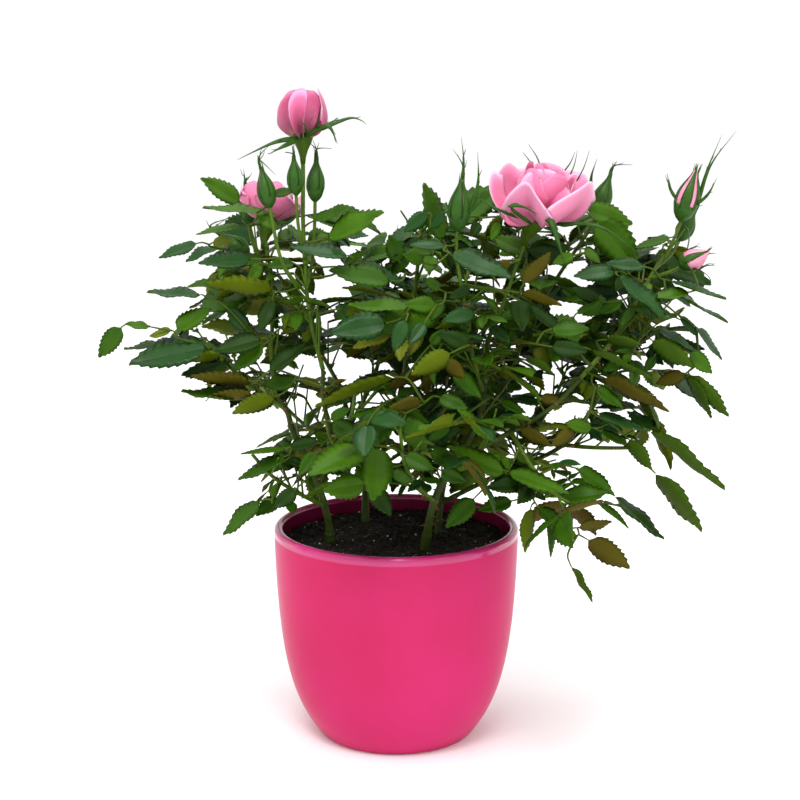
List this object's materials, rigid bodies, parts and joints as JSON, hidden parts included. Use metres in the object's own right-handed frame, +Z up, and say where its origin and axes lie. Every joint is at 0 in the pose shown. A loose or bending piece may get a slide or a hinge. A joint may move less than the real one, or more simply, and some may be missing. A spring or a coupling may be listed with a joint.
{
  "type": "potted rose bush",
  "caption": "Miniature rose bush with green canes, serrated leaves, buds and open roses, growing in a round glazed cover pot.",
  "frame": {"origin": "centre of the pot's flat underside", "axes": "+Z up along the pot's axis, +X to the right and +Y to the back, seen from the side that shows the big open rose on the right"},
  "size_m": [0.3166, 0.2502, 0.3416],
  "materials": {
    "glaze": "smooth plain glaze, high gloss",
    "compost": "damp crumbly potting compost",
    "bark": "smooth green rose cane with prickles",
    "foliage": "semi-gloss leaves, matte petals"
  },
  "bodies": {
    "root": {"pot": "glaze", "soil": "compost", "cane_left": "bark", "cane_right": "bark", "cane_back_right": "bark", "cane_back_left": "bark", "bough_left_inner": "bark", "bough_centre": "bark", "bough_right_upper": "bark", "bough_right_front": "bark", "bough_right_low": "bark", "mass_left_top": "foliage", "mass_left_outer": "foliage", "mass_left_far": "foliage", "mass_left_back": "foliage", "mass_left_low": "foliage", "mass_left_front": "foliage", "mass_centre_back": "foliage", "mass_centre": "foliage", "mass_centre_front": "foliage", "mass_right_bud": "foliage", "mass_big_rose": "foliage", "mass_right_upper": "foliage", "mass_right_tall": "foliage", "mass_right_outer": "foliage", "mass_right_low": "foliage", "mass_front_low": "foliage", "mass_front_right": "foliage", "mass_right_back": "foliage", "mass_right_back_low": "foliage", "mass_back_low": "foliage", "mass_left_back_low": "foliage"}
  },
  "joints": []
}
